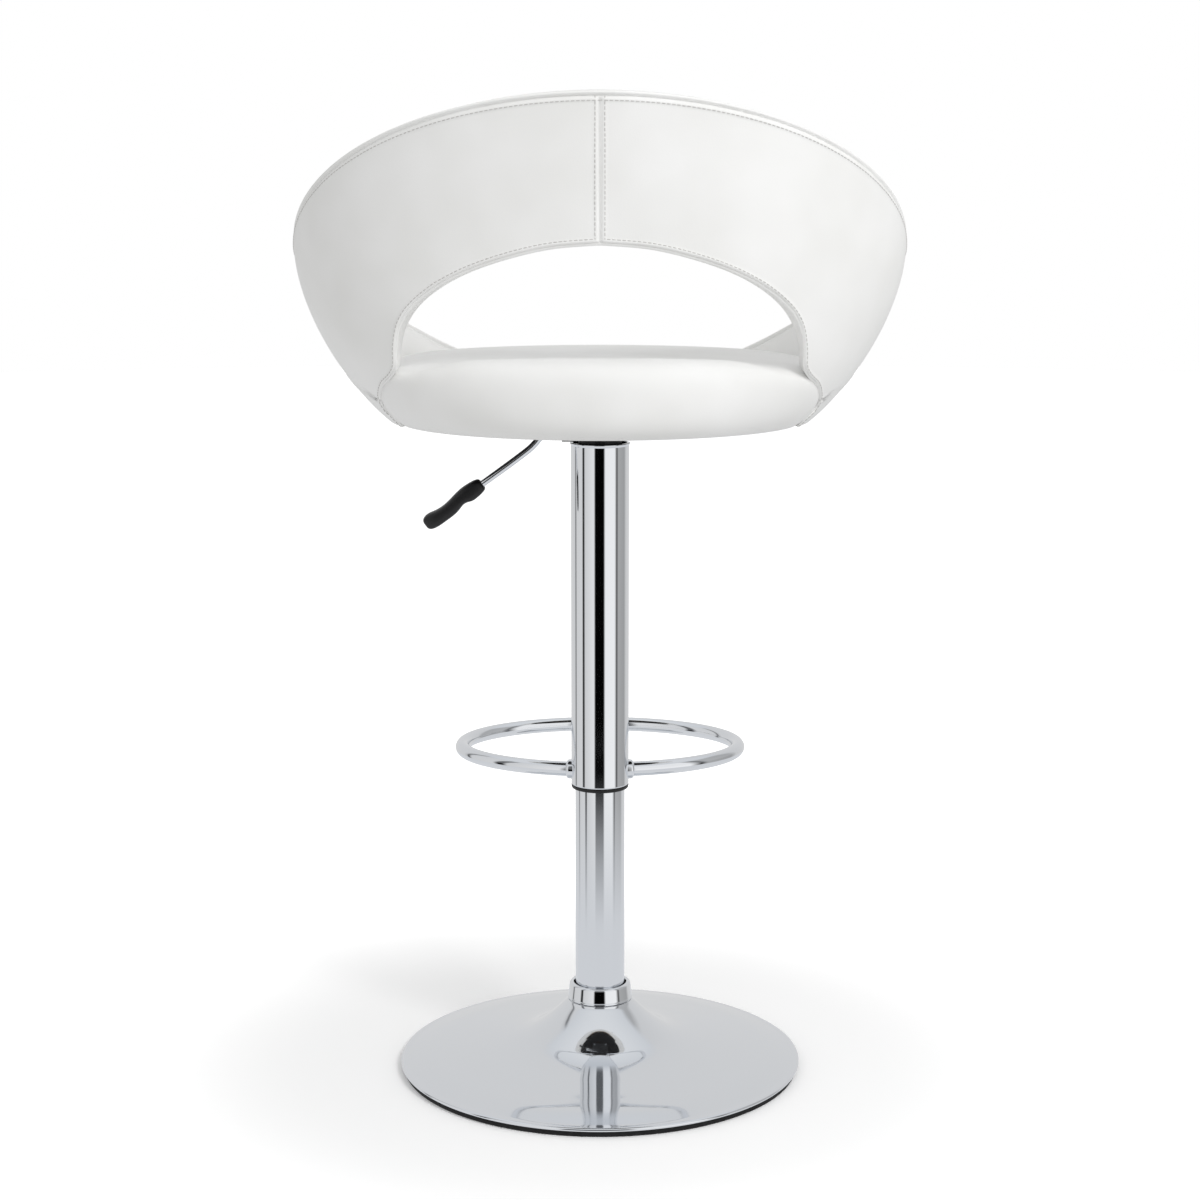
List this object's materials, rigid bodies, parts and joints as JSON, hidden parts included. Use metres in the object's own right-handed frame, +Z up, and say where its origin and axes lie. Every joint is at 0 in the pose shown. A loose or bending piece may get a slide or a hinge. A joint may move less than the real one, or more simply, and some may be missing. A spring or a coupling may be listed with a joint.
{
  "type": "adjustable swivel stool",
  "caption": "Height-adjustable swivel bar stool: padded wrap-round seat with an open back, telescopic chrome column, loop footrest, lift lever and round weighted base.",
  "frame": {"origin": "middle of the base pad underside, on the column axis, at floor level", "axes": "+Z up along the column, +Y towards the back of the seat, so the sitter faces -Y; +X is the sitter's left, where the lever is"},
  "size_m": [0.594, 0.4555, 0.979],
  "materials": {
    "chrome": "polished",
    "steel": "satin",
    "black_steel": "satin",
    "cast_iron": "rough",
    "rubber": "matte",
    "black_plastic": "fine texture",
    "plywood": "raw",
    "white_leather": "fine grain",
    "dust_cloth": "non-woven"
  },
  "bodies": {
    "base": {"floor_pad": "rubber", "base_cover": "chrome", "ballast_plate": "cast_iron", "column_flange": "steel", "flange_screw_1": "steel", "flange_screw_2": "steel", "flange_screw_3": "steel", "flange_screw_4": "steel", "base_collar": "chrome", "inner_tube": "chrome", "tube_floor": "steel", "bearing_lower_race": "steel", "bearing_ball_cage": "steel", "guide_bush": "black_plastic"},
    "piston": {"bearing_upper_race": "steel", "piston_rod": "chrome", "piston_head": "black_plastic"},
    "upper": {"outer_tube": "chrome", "lower_bush": "black_plastic", "gas_cylinder": "black_steel", "rod_seal": "rubber", "hanger_plate": "steel", "taper_socket": "black_steel", "footrest_ring": "chrome", "footrest_collar_left": "chrome", "footrest_collar_right": "chrome", "mount_plate": "black_steel", "spacer_frame": "plywood", "seat_bolt_1": "steel", "seat_bolt_2": "steel", "seat_bolt_3": "steel", "seat_bolt_4": "steel", "tee_nut_1": "steel", "tee_nut_2": "steel", "tee_nut_3": "steel", "tee_nut_4": "steel", "lever_bracket": "black_steel", "lever_pivot_pin": "steel", "frame_screw_left_1": "steel", "frame_screw_left_2": "steel", "frame_screw_left_3": "steel", "frame_screw_right_1": "steel", "frame_screw_right_2": "steel", "frame_screw_right_3": "steel", "seat_board": "plywood", "dust_cover": "dust_cloth", "seat_cushion": "white_leather", "back_outer_pad": "white_leather", "back_frame": "plywood", "back_inner_pad": "white_leather"},
    "lever": {"lever_rod": "chrome", "lever_handle": "black_plastic"},
    "valve": {"valve_pin": "steel"}
  },
  "joints": [
    {"name": "seat_swivel", "type": "hinge", "parent": "base", "child": "piston", "pos_m": [0, 0, 0.03], "axis": [0, 0, 1], "continuous": true},
    {"name": "seat_lift", "type": "slide", "parent": "piston", "child": "upper", "axis": [0, 0, 1], "range_m": [-0.2, 0]},
    {"name": "lever_pull", "type": "hinge", "parent": "upper", "child": "lever", "pos_m": [0.028, 0, 0.651], "axis": [0, -1, 0], "range_deg": [0, 6], "stiffness_Nm_per_rad": 1, "springref_deg": -14.32},
    {"name": "valve_press", "type": "slide", "parent": "upper", "child": "valve", "axis": [0, 0, 1], "range_m": [-0.0027, 0]}
  ],
  "couplings": [
    {"joint": "valve_press", "follows": "lever_pull", "m_per_rad": -0.024}
  ]
}
